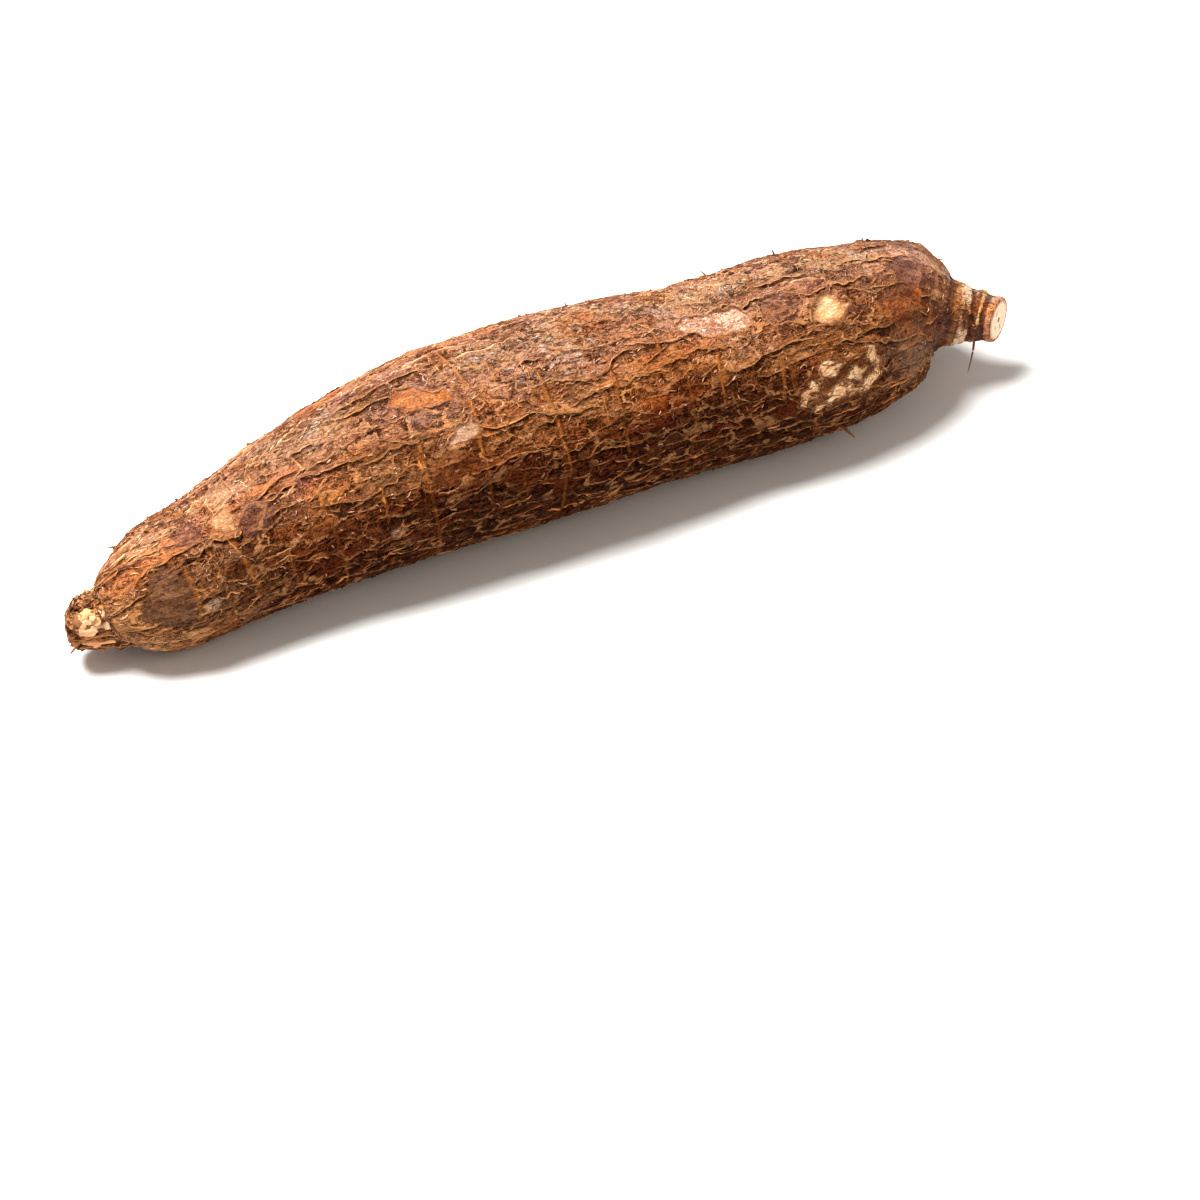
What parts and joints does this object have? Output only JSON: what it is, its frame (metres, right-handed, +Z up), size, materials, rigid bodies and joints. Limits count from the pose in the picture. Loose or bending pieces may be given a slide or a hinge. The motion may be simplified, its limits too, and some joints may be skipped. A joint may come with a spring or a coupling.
{
  "type": "cassava root",
  "caption": "Whole unpeeled cassava root lying on its belly: a long swollen body with flaky brown bark, a broken tip and a short sawn stalk.",
  "frame": {"origin": "centre of the bounding box's bottom, on the surface that the root lies on", "axes": "+X along the root from the broken tip towards the sawn stalk, +Y to its left, +Z up"},
  "size_m": [0.3202, 0.0618, 0.0602],
  "materials": {
    "bark": "dry, papery, flaking brown bark, matt with a faint sheen on smooth patches",
    "flesh": "dried cream to golden flesh and wood on the sawn stalk, the broken tip and small scars, matt"
  },
  "bodies": {
    "root": {"cassava_root": "bark"}
  },
  "joints": []
}
